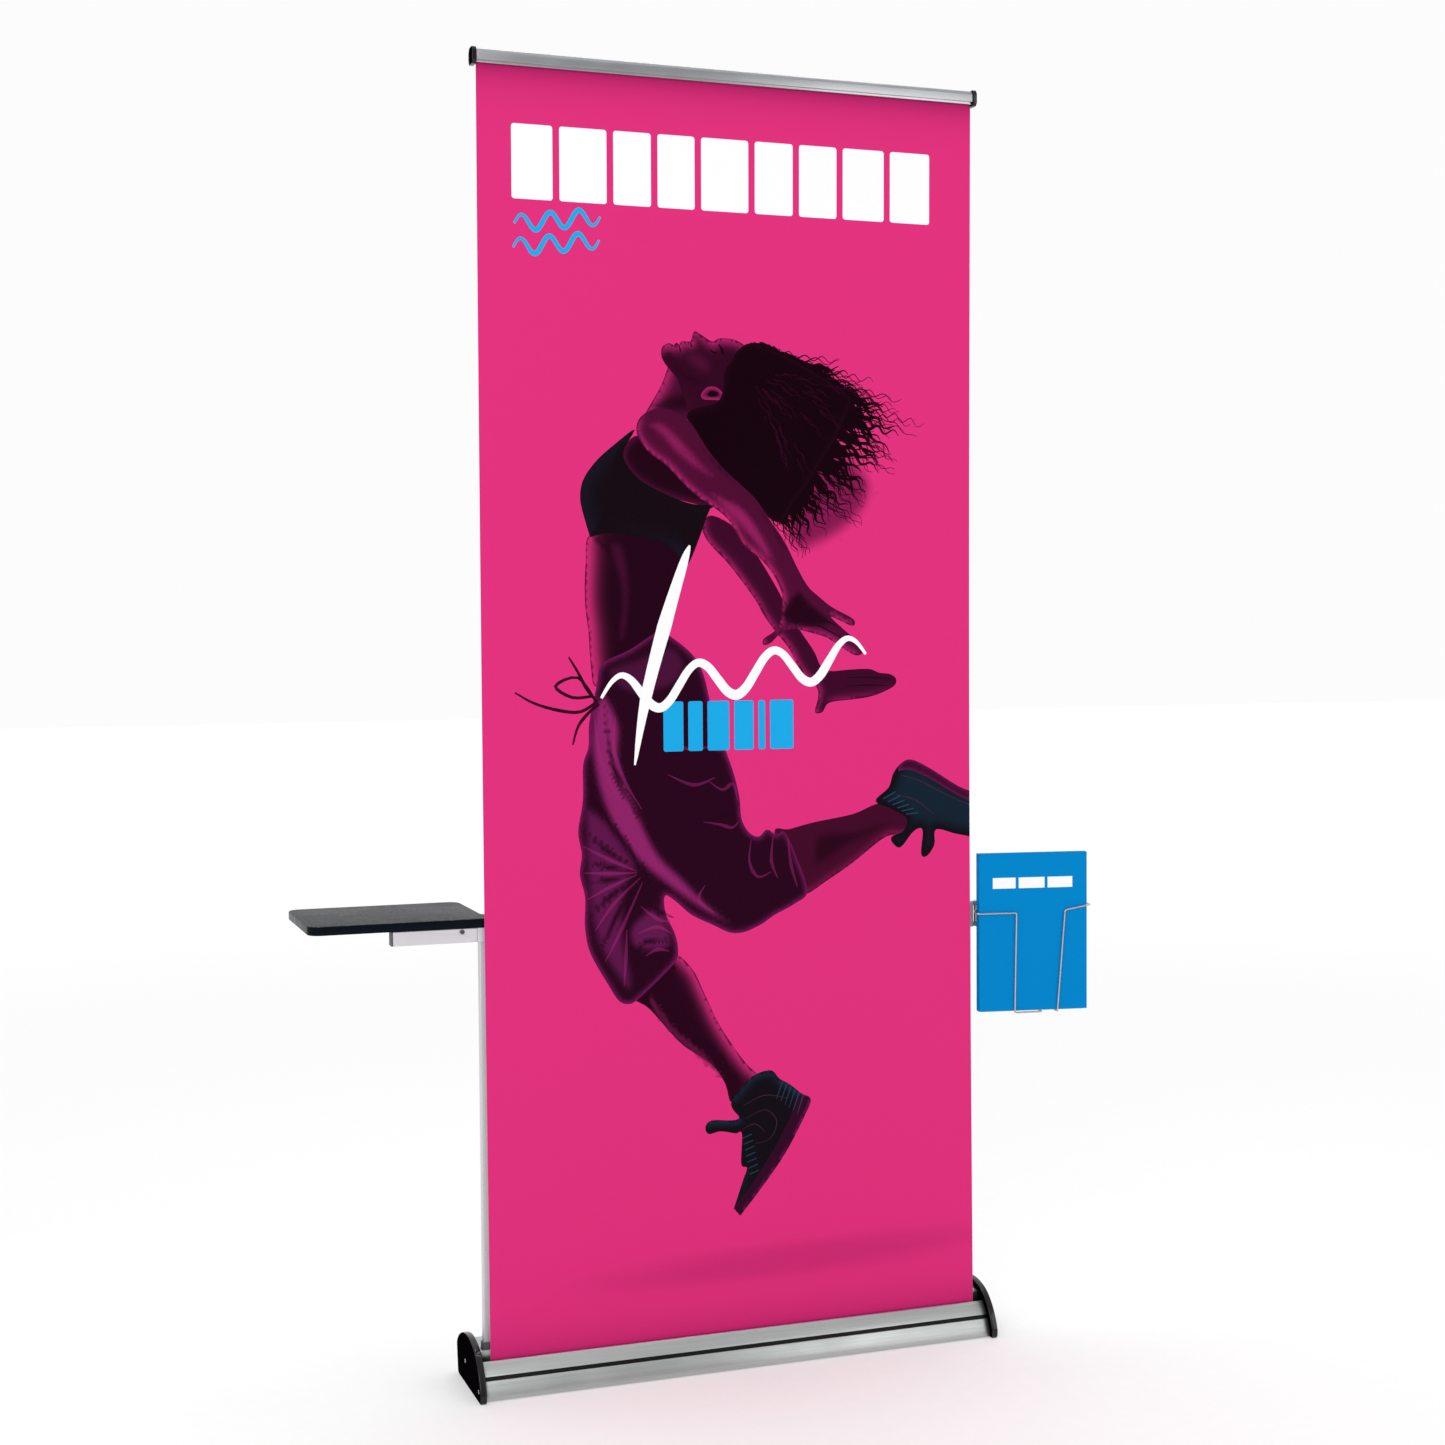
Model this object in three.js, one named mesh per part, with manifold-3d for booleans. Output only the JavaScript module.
// Roll-up banner stand with a side shelf and a wire brochure pocket.
// Millimetres. X runs along the banner's width, -Y is the side the banner is read from, +Z is up.
// The origin is on the floor, below the middle of the banner.
import * as THREE from "three";
import { mergeVertices } from "three/addons/utils/BufferGeometryUtils.js";
import Module from "manifold-3d";

// Clearances
const GAP = 0.3; // between two pieces that touch
const SLIP = 0.5; // between two pieces that slide or turn in one another

// Banner
const BANNER_WIDTH = 920;
const BANNER_THICKNESS = 0.8;
const BANNER_BOW = 9; // how far the middle of the hanging banner curves back

// Base: the end caps' outline and the extrusions between them
const BASE_FRONT = 46.5; // reach ahead of the banner
const BASE_BACK = 136; // reach behind the banner
const BASE_HEIGHT = 91.5;
const TOE_Z = BASE_HEIGHT * 0.153; // first and second control points of the front curve
const BROW = [8.5 - BASE_FRONT, BASE_HEIGHT * 0.48];
const BROW_TOP = [32.5 - BASE_FRONT, BASE_HEIGHT * 0.875];
const CROWN = [BASE_BACK - 76, BASE_HEIGHT * 1.072]; // control points of the top
const NAPE = [BASE_BACK - 24, BASE_HEIGHT * 0.918];
const HEEL_TURN = [BASE_BACK + 1.5, BASE_HEIGHT * 0.6]; // control point of the rear corner
const REAR_TOP = BASE_HEIGHT * 0.5; // where the rear wall starts
const FOOT_CORNER = 4; // how far the cap's lower corners are cut back
const REAR_CORNER = 6.5; // from the cap's back to its lower rear corner
const REAR_TOE = 11; // and to the end of its foot
const SHOULDER_Y = 68.5 - BASE_FRONT; // where the front curve meets the top
const SHOULDER_Z = BASE_HEIGHT * 0.945;
const HEEL_Y = BASE_BACK - 3; // where the top meets the rear corner
const HEEL_Z = BASE_HEIGHT * 0.656;
const REAR_SLANT = 7; // how far the rear wall slants in towards the floor
const CAP_OVERHANG = 17; // from the banner's edge to the cap's inner face
const CAP_THICKNESS = 12;
const CAP_PROUD = 11; // how far the cap stands out from the extrusions
const CAP_BEVEL = 2.5;
const CAP_RIM = 9; // width of the raised border on the cap's outer face
const CAP_RECESS = 1.2;
const SKIN = 2.4; // wall of the extrusions
const TRAY_LIFT = 2; // from the floor to the underside of the tray
const TRAY_FLANGE = 2;
const TRAY_TOE = 1.6; // from the tray's lowest front point to its flat floor
const TRAY_FLANGE_BASE = 6; // height above the floor where the front flange starts
const TRAY_INNER_TOE = 4;
const TRAY_LIP = 16; // height of the tray's rear lip
const GROOVE_BOTTOM = 33; // the groove in the front face, which holds the accent strip
const GROOVE_TOP = 39.3;
const STRIP_RECESS = 0.8;
const CURL_RADIUS = 1.5; // the front panel's upper edge is curled over
const CURL_RISE = 0.8;
const CURL_DEPTH = 8;
const CURL_WALL = 1.6;
const FRONT_LIP = 59.5; // upper edge of the front panel
const FLANGE_TOP = 46;
const SLOT_BACK = 13; // front face of the rear cover
const COVER_EDGE = 1.5; // how far the wall behind the slot stops short of the top
const COVER_HOLE_DROP = 4; // from the wall's lower edge to the bottom of the holes' cutters
const COVER_WALL_BOTTOM = 46;
const FOOT_WIDTH = 40;
const FOOT_FRONT = -30;
const FOOT_BACK = 105;
const FOOT_SPREAD = 380; // from the middle strip to each outer strip

// Fasteners
const SCREW_HEAD_RADIUS = 4;
const SCREW_HEAD_HEIGHT = 2.4;
const SCREW_SHANK_RADIUS = 2;
const SCREW_SOCKET_RADIUS = 1.7;
const SCREW_TIP = 0.4; // chamfer on the shank's end
const CAP_SCREW_Y = -26;
const CAP_SCREW_Z = 17;
const CAP_SCREW_LENGTH = 9;

// Roller and guide rod
const ROLLER_Y = 76;
const ROLLER_Z = 38;
const ROLLER_RADIUS = 18;
const ROLLER_WALL = 1.3;
const ROLLER_END_GAP = 9; // from the cap's inner face to the roller
const WOUND_DEPTH = 1.2; // turns of banner left on the roller
const PLUG_LENGTH = 18;
const PLUG_FLANGE = 1.8;
const AXLE_RADIUS = 4;
const AXLE_SEAT = 4; // how far an axle goes into the cap's wall
const BOSS_WALL = 4;
const BOSS_LENGTH = 6;
const SPRING_AXLE_LENGTH = 210;
const SPRING_RADIUS = 9;
const SPRING_WIRE_RADIUS = 1;
const SPRING_TURNS = 11;
const SPRING_LENGTH = 150;
const HUB_LENGTH = 12;
const HUB_INSET = 4; // from the spring axle's end to the hub
const SPRING_STEPS = 8; // points on each turn of the spring
const STUB_LENGTH = 30;
const GUIDE_RADIUS = 6;
const GUIDE_Z = 16;
const LEAD_THICKNESS = 0.6;
const LEAD_END = 1.5 * Math.PI + 0.17; // where it leaves the guide rod and meets the roller
const LEAD_STEPS = 8;
const BOW_STEPS = 16;

// Telescopic pole
const POLE_RADIUS = 14;
const POLE_STEP = 2.2; // each section is this much thinner than the one below
const POLE_WALL = 1.2;
const LOWER_TUBE_LENGTH = 790;
const MIDDLE_TUBE_LENGTH = 810;
const POLE_OVERLAP = 70; // how far each section reaches into the one below
const LOCK_WALL = 3.2;
const LOCK_SKIRT = 30; // the collar's length below the tube's end
const LOCK_CROWN = 8; // and above it
const LOCK_RIBS = 12;
const LOCK_RIB_HEIGHT = 0.9;
const SOCKET_WALL = 2;
const SOCKET_BOTTOM = 18; // clear of the banner, which runs below the sockets
const SOCKET_TOP = 86;
const SOCKET_FLOOR = 2.4;

// Rail
const RAIL_BOTTOM = 2264; // lowest point of the rail's end caps
const RAIL_CAP_HEIGHT = 29;
const RAIL_CAP_FRONT = 11.5;
const RAIL_CAP_BACK = 17;
const RAIL_CAP_THICKNESS = 8;
const RAIL_CAP_PROUD = 1.6;
const RAIL_LIP_HEIGHT = 4; // the darker lip below the jaw's face
const RAIL_LIP_RECESS = 3.5;
const JAW_PIVOT_Y = -3.1;
const GRIP_GAP = 0.6; // from the banner to the jaws
const GRIP_DEPTH = 12; // how far the banner reaches into the rail
const HEAD_WIDTH = 30;
const HEAD_LEDGE = 5;
const HEAD_HOOK = 3.5;
const HEAD_HOOK_HEIGHT = 14;
const HEAD_GRIP = 28; // how far the head goes down over the pole
const HEAD_WALL = 4; // round the pole
const HEAD_SETBACK = 2; // from the banner's jaw to the ledge's front
const HEAD_SHOULDER = 2; // height of the head's back above the ledge
const JAW_HOOK = 3.6; // height of the hooks that the jaw turns on

// Accessory posts
const POST_WIDTH = 25;
const POST_DEPTH = 12;
const POST_WALL = 1.6;
const POST_CORNER = 3;
const POST_OUTSET = 7.5; // from the banner's edge to the post's outer face
const BRACKET_WALL = 2.4;
const BRACKET_ROOF = 5;
const BRACKET_DEPTH = 22;

// Shelf
const ARM_TOP = 806;
const ARM_HEIGHT = 24.5;
const ARM_DEPTH = 22;
const ARM_FRONT = 17;
const ARM_LENGTH = 145;
const ARM_WALL = 2;
const ARM_PLUG_LIP = 2.5;
const ARM_PLUG_DEPTH = 12;
const ARM_CORNER = 1.5;
const ARM_INNER_CORNER = 0.5;
const SPIGOT_LENGTH = 60;
const ARM_SCREW_INSET = 26; // from the arm's inner end to its lock screw
const ARM_SCREW_DROP = 5.6; // from the arm's top to its lock screw
const SHELF_THICKNESS = 16;
const SHELF_FRONT = 14;
const SHELF_BACK = 262;
const SHELF_REACH = 298; // from the banner's edge to the shelf's far end
const SHELF_OVERLAP = 10; // how far the shelf goes behind the banner
const SHELF_TONGUE = 30; // and its front tongue
const SHELF_TONGUE_DEPTH = 56;
const SHELF_CORNER = 22;
const SHELF_INNER_CORNER = 7;
const SHELF_EDGE = 3;
const SHELF_NOTCH_CORNER = 4;
const BAR_WIDTH = 25;
const BAR_THICKNESS = 4;
const BAR_END = 235;
const BAR_INSETS = [22, 100]; // from the arm's free end to each bar
const SHELF_SCREW_Y = [80, 210];
const SHELF_SCREW_LENGTH = 14;

// Brochure pocket
const BRACKET_TOP = 805;
const POCKET_BRACKET_HEIGHT = 46;
const LUG_HEIGHT = 7;
const LUG_RADIUS = 5.6;
const LUG_REACH = 12; // from the bracket's side to the pivot
const LUG_BACK = 12; // from the bracket's front to the pivot
const PIN_RADIUS = 2.5;
const PIN_HEAD_RADIUS = 4.2;
const PIN_HEAD_HEIGHT = 2;
const KNUCKLE_RADIUS = 5;
const POCKET_YAW = -10; // degrees, the rest angle of the pocket
const PIVOT_U = -102; // from the brochures' centre line to the pivot
const BROCHURE_WIDTH = 210;
const BROCHURE_HEIGHT = 297;
const BROCHURE_STACK = 19;
const BROCHURE_BOTTOM = 600.6;
const WIRE_RADIUS = 1.65;
const WIRE_SIDES = 10;
const WIRE_BEND = 4; // bend radius
const WIRE_DROP = 3; // from the brochures down to the base wires' axes
const WIRE_SIDE_GAP = 3; // from the brochures' edge to the wires
const WIRE_TOP = 784;
const WIRE_RISE = 12; // the right wire's outer end is this much higher than its corner
const LEFT_WIRE_TOP_U = -33;
const LEFT_WIRE_BOTTOM_U = -36.5;
const RIGHT_WIRE_TOP_U = 61;
const RIGHT_WIRE_BOTTOM_U = 46;
const BASE_LOOP_U = 16;
const LEFT_WIRE_RISE = 4; // the left wire's rear run is this much higher than its front run
const RIGHT_WIRE_LEAD = 2; // the right wire stands out this much further
const RIGHT_WIRE_CORNER = 3; // height of its front corner above the left wire
const BACK_WIRE_DROP = 6; // the back wire starts this much below the left wire's front run
const BACK_WIRE_RISE = 4; // and ends this much above the right wire
const PIN_BEVEL = 0.8;

// Roundness
const ROUND = 32; // sides of a turned piece
const SMALL_ROUND = 14;
const CORNER_STEPS = 2;
const SHELF_CORNER_STEPS = 4;
const BEND_STEPS = 5;
const CAP_STEPS = 10; // on each of the dome's long curves, round an end cap
const RECESS_STEPS = 8; // and round its recess
const PANEL_STEPS = 6;
const COVER_STEPS = 14;

// Materials: colour, roughness, metalness
const FINISHES = {
  anodised: [0xb4b8b9, 0.38, 0.85],
  silver: [0xcfcfd2, 0.42, 0.8],
  grey_plate: [0x9b9c9e, 0.5, 0.6],
  steel: [0xb9bcc0, 0.25, 1],
  wire: [0xbcb4b4, 0.25, 1],
  black_gloss: [0x0d0b0c, 0.22, 0],
  black_strip: [0x100c10, 0.4, 0],
  dark_plastic: [0x56585b, 0.55, 0],
  rubber: [0x1b1b1c, 0.9, 0],
  shelf: [0x3c4042, 0.55, 0],
  brochure: [0x0084c8, 0.45, 0],
  banner: [0xde317b, 0.6, 0],
};

const CAP_FACE = BANNER_WIDTH / 2 + CAP_OVERHANG;
const EXTRUSION_END = CAP_FACE - GAP;
const ROLLER_END = CAP_FACE - ROLLER_END_GAP;
const SOCKET_FRONT = SLOT_BACK + SKIN + 2 * GAP;
const POLE_Y = SOCKET_FRONT + SOCKET_WALL + SLIP + POLE_RADIUS;
const POLE_BOTTOM = SOCKET_BOTTOM + SOCKET_FLOOR + GAP;
const LOWER_TUBE_TOP = POLE_BOTTOM + LOWER_TUBE_LENGTH;
const MIDDLE_TUBE_TOP = LOWER_TUBE_TOP - POLE_OVERLAP + MIDDLE_TUBE_LENGTH;
const POST_FRONT = SOCKET_FRONT + SOCKET_WALL + SLIP;
const POST_X = BANNER_WIDTH / 2 + POST_OUTSET - POST_WIDTH / 2;
const POST_Y = POST_FRONT + POST_DEPTH / 2;
const BRACKET_FRONT = POST_FRONT - SLIP - BRACKET_WALL;
const BRACKET_HALF = POST_WIDTH / 2 + SLIP + BRACKET_WALL;
const RAIL_LIP_BOTTOM = RAIL_BOTTOM + RAIL_CAP_PROUD + 1.2;
const RAIL_TOP = RAIL_BOTTOM + RAIL_CAP_HEIGHT - RAIL_CAP_PROUD;
const BANNER_TOP = RAIL_LIP_BOTTOM + GRIP_DEPTH;
const POCKET_REAR = BROCHURE_STACK + GAP + WIRE_RADIUS; // the wires' axes behind the brochures
const PIVOT_V = POCKET_REAR + WIRE_RADIUS + GAP + KNUCKLE_RADIUS;

const wasm = await Module();
wasm.setup();

/** A finish's own material, one for each mesh. */
function material(finish) {
  const [color, roughness, metalness] = FINISHES[finish];
  return new THREE.MeshStandardMaterial({ color, roughness, metalness });
}

/** A named piece with its finish. */
function piece(name, finish, geometry) {
  const made = new THREE.Mesh(geometry, material(finish));
  made.name = name;
  return made;
}

/** Moves a piece to a place in its parent and returns it. */
function at(made, x, y, z) {
  made.position.set(x, y, z);
  return made;
}

/** Turns a piece whose outline is drawn in Y and Z so that its length runs along X from x. */
function alongX(made, x) {
  made.rotation.set(Math.PI / 2, Math.PI / 2, 0);
  made.position.x = x;
  return made;
}

/** Stands a turned piece up along Z, or lays it along X or Y. */
function pointed(made, axis) {
  const turns = { x: [0, 0, -Math.PI / 2], y: [0, 0, 0], z: [Math.PI / 2, 0, 0] };
  made.rotation.set(...turns[axis]);
  return made;
}

function toSolid(geometry) {
  const bare = geometry.index ? geometry.toNonIndexed() : geometry.clone();
  bare.deleteAttribute("normal");
  bare.deleteAttribute("uv");
  const merged = mergeVertices(bare, 1e-3);
  return new wasm.Manifold(
    new wasm.Mesh({
      numProp: 3,
      vertProperties: merged.getAttribute("position").array,
      triVerts: Uint32Array.from(merged.index.array),
    }),
  );
}

function toGeometry(solid) {
  const { vertProperties, triVerts } = solid.getMesh();
  const geometry = new THREE.BufferGeometry();
  geometry.setAttribute("position", new THREE.BufferAttribute(new Float32Array(vertProperties), 3));
  geometry.setIndex(new THREE.BufferAttribute(new Uint32Array(triVerts), 1));
  geometry.computeVertexNormals();
  return geometry;
}

/** The first geometry with all the others cut out of it. */
function cut(base, ...tools) {
  return toGeometry(tools.reduce((left, tool) => left.subtract(toSolid(tool)), toSolid(base)));
}

/** All the geometries as one. */
function join(base, ...others) {
  return toGeometry(others.reduce((all, other) => all.add(toSolid(other)), toSolid(base)));
}

/** A block between two corners. */
function block([x0, y0, z0], [x1, y1, z1]) {
  const geometry = new THREE.BoxGeometry(x1 - x0, y1 - y0, z1 - z0);
  return geometry.translate((x0 + x1) / 2, (y0 + y1) / 2, (z0 + z1) / 2);
}

/** A solid turned about Y from a closed profile of [radius, height] points. */
function turned(profile, sides = ROUND) {
  const closed = [...profile, profile[0]];
  let area = 0;
  for (let i = 1; i < closed.length; i++) {
    area += closed[i - 1][0] * closed[i][1] - closed[i][0] * closed[i - 1][1];
  }
  const ordered = area > 0 ? closed : closed.reverse();
  const points = ordered.map(([radius, height]) => new THREE.Vector2(radius, height));
  return new THREE.LatheGeometry(points, sides);
}

/** A rod with chamfered ends, from 0 to length along Y. */
function rod(radius, length, chamfer = 0.5, sides = ROUND) {
  const profile = [
    [0, 0],
    [radius - chamfer, 0],
    [radius, chamfer],
    [radius, length - chamfer],
    [radius - chamfer, length],
    [0, length],
  ];
  return turned(profile, sides);
}

/** A pipe from 0 to length along Y. */
function pipe(outer, inner, length, sides = ROUND) {
  const profile = [
    [inner, 0],
    [outer, 0],
    [outer, length],
    [inner, length],
  ];
  return turned(profile, sides);
}

/** A closed outline with its corners rounded by one radius, or by one for each corner. */
function rounded(corners, radii) {
  const shape = new THREE.Shape();
  const count = corners.length;
  corners.forEach((corner, i) => {
    const here = new THREE.Vector2(...corner);
    const before = new THREE.Vector2(...corners[(i + count - 1) % count]).sub(here);
    const after = new THREE.Vector2(...corners[(i + 1) % count]).sub(here);
    const wanted = Array.isArray(radii) ? radii[i] : radii;
    const slope = Math.tan(before.angleTo(after) / 2);
    const reach = Math.min(wanted / slope, before.length() / 2.1, after.length() / 2.1);
    const start = here.clone().addScaledVector(before.normalize(), reach);
    if (i === 0) shape.moveTo(start.x, start.y);
    else shape.lineTo(start.x, start.y);
    if (reach === 0) return;
    const end = here.clone().addScaledVector(after.normalize(), reach);
    const towards = start.clone().add(end).multiplyScalar(0.5).sub(here).normalize();
    const radius = reach * slope;
    const centre = here.clone().addScaledVector(towards, Math.hypot(radius, reach));
    const turn = before.cross(after);
    const from = start.sub(centre).angle();
    const to = end.sub(centre).angle();
    shape.absarc(centre.x, centre.y, radius, from, to, turn > 0);
  });
  shape.closePath();
  return shape;
}

/** A rectangle centred on the origin with rounded corners. */
function rectangle(width, height, radius = 0) {
  const corners = [
    [-width / 2, -height / 2],
    [width / 2, -height / 2],
    [width / 2, height / 2],
    [-width / 2, height / 2],
  ];
  return rounded(corners, radius);
}

/** An outline pushed along its own Z from 0 to depth. */
function pushed(shape, depth, bevel = 0, curveSegments = CORNER_STEPS) {
  const geometry = new THREE.ExtrudeGeometry(shape, {
    depth: depth - 2 * bevel,
    bevelEnabled: bevel > 0,
    bevelThickness: bevel,
    bevelSize: bevel,
    bevelOffset: -bevel,
    bevelSegments: 2,
    curveSegments,
  });
  return geometry.translate(0, 0, bevel);
}

/** A path through a list of points, which bends at them and nowhere else. */
class PointPath extends THREE.Curve {
  constructor(points) {
    super();
    this.points = points;
  }

  getPoint(t, target = new THREE.Vector3()) {
    const place = t * (this.points.length - 1);
    const from = Math.min(Math.floor(place), this.points.length - 2);
    return target.lerpVectors(this.points[from], this.points[from + 1], place - from);
  }

  getPointAt(u, target) {
    return this.getPoint(u, target);
  }

  getSpacedPoints(divisions) {
    return this.getPoints(divisions);
  }

  getTangentAt(u, target = new THREE.Vector3()) {
    const index = Math.round(u * (this.points.length - 1));
    const next = this.points[Math.min(index + 1, this.points.length - 1)];
    const last = this.points[Math.max(index - 1, 0)];
    return target.subVectors(next, last).normalize();
  }
}

/** A round wire along a list of points. */
function wireAlong(points, radius, sides) {
  const section = new THREE.Shape();
  for (let i = 0; i < sides; i++) {
    const angle = (i / sides) * 2 * Math.PI;
    const place = [radius * Math.cos(angle), radius * Math.sin(angle)];
    if (i === 0) section.moveTo(...place);
    else section.lineTo(...place);
  }
  section.closePath();
  return new THREE.ExtrudeGeometry(section, {
    steps: points.length - 1,
    extrudePath: new PointPath(points),
  });
}

/** The points of a wire that runs straight between corners and is bent round each of them. */
function bentWire(corners, bend) {
  const places = corners.map((corner) => new THREE.Vector3(...corner));
  const points = [places[0]];
  for (let i = 1; i < places.length - 1; i++) {
    const back = places[i - 1].clone().sub(places[i]);
    const ahead = places[i + 1].clone().sub(places[i]);
    const reach = Math.min(bend, back.length() / 2.2, ahead.length() / 2.2);
    const start = places[i].clone().addScaledVector(back.normalize(), reach);
    const end = places[i].clone().addScaledVector(ahead.normalize(), reach);
    const curve = new THREE.QuadraticBezierCurve3(start, places[i], end);
    points.push(...curve.getPoints(BEND_STEPS));
  }
  points.push(places[places.length - 1]);
  return points;
}

// The base's dome: stage 0 to 1 is the front curve, 1 to 2 the top, 2 to 3 the rear corner and
// 3 to 4 the rear wall. Each point is [Y, Z].
const DOME = [
  new THREE.CubicBezierCurve(
    new THREE.Vector2(-BASE_FRONT, TOE_Z),
    new THREE.Vector2(...BROW),
    new THREE.Vector2(...BROW_TOP),
    new THREE.Vector2(SHOULDER_Y, SHOULDER_Z),
  ),
  new THREE.CubicBezierCurve(
    new THREE.Vector2(SHOULDER_Y, SHOULDER_Z),
    new THREE.Vector2(...CROWN),
    new THREE.Vector2(...NAPE),
    new THREE.Vector2(HEEL_Y, HEEL_Z),
  ),
  new THREE.QuadraticBezierCurve(
    new THREE.Vector2(HEEL_Y, HEEL_Z),
    new THREE.Vector2(...HEEL_TURN),
    new THREE.Vector2(BASE_BACK, REAR_TOP),
  ),
  new THREE.LineCurve(
    new THREE.Vector2(BASE_BACK, REAR_TOP),
    new THREE.Vector2(BASE_BACK - REAR_SLANT, 0),
  ),
];

/** The dome's point at a stage, moved inwards by inset. */
function domePoint(stage, inset) {
  const index = Math.min(Math.floor(stage), DOME.length - 1);
  const point = DOME[index].getPoint(stage - index);
  const along = DOME[index].getTangent(stage - index);
  return new THREE.Vector2(point.x + along.y * inset, point.y - along.x * inset);
}

/** The stage at which the inset dome reaches a value of x (the part's Y) or y (the part's Z). */
function domeStage(key, value, inset, low, high) {
  const rising = domePoint(high, inset)[key] > domePoint(low, inset)[key];
  let [below, above] = rising ? [low, high] : [high, low];
  for (let i = 0; i < 40; i++) {
    const middle = (below + above) / 2;
    if (domePoint(middle, inset)[key] < value) below = middle;
    else above = middle;
  }
  return (below + above) / 2;
}

/** Points on the inset dome between two stages. */
function domeStretch(from, to, inset, steps) {
  const points = [];
  for (let i = 0; i <= steps; i++) {
    const { x, y } = domePoint(from + ((to - from) * i) / steps, inset);
    points.push([x, y]);
  }
  return points;
}

/** Points on the inset front curve between two heights. */
function frontStretch(low, high, inset, steps) {
  const from = domeStage("y", low, inset, 0, 1);
  const to = domeStage("y", high, inset, 0, 1);
  return domeStretch(from, to, inset, steps);
}

/** An outline with sharp corners at each of its points. */
function outline(points) {
  return new THREE.Shape(points.map(([x, y]) => new THREE.Vector2(x, y)));
}

/** The outer outline of an end cap, or of its recess when it is inset. */
function capOutline(inset, steps) {
  const top = [
    ...domeStretch(0, 1, inset, steps),
    ...domeStretch(1, 2, inset, steps).slice(1),
    ...domeStretch(2, 3, inset, 4).slice(1),
  ];
  const toe = Math.max(inset, 0);
  const corners = [
    [BASE_BACK - REAR_CORNER - inset, toe + FOOT_CORNER],
    [BASE_BACK - REAR_TOE - inset, toe],
    [FOOT_CORNER - BASE_FRONT + inset, toe],
    [1 - BASE_FRONT + inset, toe + 3],
  ];
  return outline([...top, ...corners].reverse());
}

/** The hollow for a screw's head, its shank and the axle behind it, along the cap's thickness. */
function screwHollow(y, z, outside) {
  const bore = SCREW_SHANK_RADIUS + GAP;
  const head = SCREW_HEAD_RADIUS + GAP;
  const depth = SCREW_HEAD_HEIGHT + GAP + CAP_RECESS;
  const hollow = join(
    pipeCutter(bore, CAP_THICKNESS + 2),
    pipeCutter(head, depth + 1).translate(0, outside > 0 ? CAP_THICKNESS + 1 - depth : 0, 0),
  );
  return hollow.rotateX(Math.PI / 2).translate(y, z, -1);
}

/** A plain cylinder along Y that cuts a round hole. */
function pipeCutter(radius, length, sides = SMALL_ROUND) {
  return turned(
    [
      [0, 0],
      [radius, 0],
      [radius, length],
      [0, length],
    ],
    sides,
  );
}

/** An end cap: the thick outer plate with its border, two bosses and two screw hollows. */
function endCap(name, side) {
  const plate = pushed(capOutline(0, CAP_STEPS), CAP_THICKNESS, CAP_BEVEL);
  const recessFloor = side > 0 ? CAP_THICKNESS - CAP_RECESS : -1;
  const inner = capOutline(CAP_RIM, RECESS_STEPS);
  const recess = pushed(inner, CAP_RECESS + 1).translate(0, 0, recessFloor);
  const seats = [
    [ROLLER_Y, ROLLER_Z, AXLE_RADIUS],
    [guideY(), GUIDE_Z, GUIDE_RADIUS],
  ];
  const bosses = seats.map(([y, z, radius]) => {
    const boss = pipeCutter(radius + GAP + BOSS_WALL, BOSS_LENGTH + 1).rotateX(Math.PI / 2);
    return boss.translate(y, z, side > 0 ? -BOSS_LENGTH : CAP_THICKNESS - 1);
  });
  const bores = seats.map(([y, z, radius]) => {
    const bore = pipeCutter(radius + GAP, BOSS_LENGTH + AXLE_SEAT + 1 + GAP).rotateX(Math.PI / 2);
    const start = side > 0 ? -BOSS_LENGTH - 1 : CAP_THICKNESS - AXLE_SEAT - GAP;
    return bore.translate(y, z, start);
  });
  const hollows = [
    screwHollow(ROLLER_Y, ROLLER_Z, side),
    screwHollow(CAP_SCREW_Y, CAP_SCREW_Z, side),
  ];
  const whole = join(plate, ...bosses);
  const cap = piece(name, "black_gloss", cut(whole, recess, ...bores, ...hollows));
  return alongX(cap, side > 0 ? CAP_FACE : -CAP_FACE - CAP_THICKNESS);
}

/** A socket-head screw along Y, its head's underside at 0 and its shank running to -length. */
function screwGeometry(length) {
  const head = [
    [0, -length],
    [SCREW_SHANK_RADIUS - SCREW_TIP, -length],
    [SCREW_SHANK_RADIUS, SCREW_TIP - length],
    [SCREW_SHANK_RADIUS, 0],
    [SCREW_HEAD_RADIUS, 0],
    [SCREW_HEAD_RADIUS, SCREW_HEAD_HEIGHT * 0.45],
    [SCREW_HEAD_RADIUS * 0.7, SCREW_HEAD_HEIGHT],
    [SCREW_SOCKET_RADIUS, SCREW_HEAD_HEIGHT],
    [SCREW_SOCKET_RADIUS, SCREW_HEAD_HEIGHT * 0.3],
    [0, SCREW_HEAD_HEIGHT * 0.3],
  ];
  return turned(head, SMALL_ROUND);
}

/** A screw in an end cap, its head below the cap's face. */
function capScrew(name, side, y, z, length) {
  const screw = piece(name, "steel", screwGeometry(length));
  screw.rotation.z = (-side * Math.PI) / 2;
  const seat = CAP_FACE + CAP_THICKNESS - CAP_RECESS - SCREW_HEAD_HEIGHT;
  return at(screw, side * seat, y, z);
}

/** Where the guide rod's axis lies so that the banner rises at Y = 0. */
function guideY() {
  return BANNER_THICKNESS / 2 + GAP + GUIDE_RADIUS;
}

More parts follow.
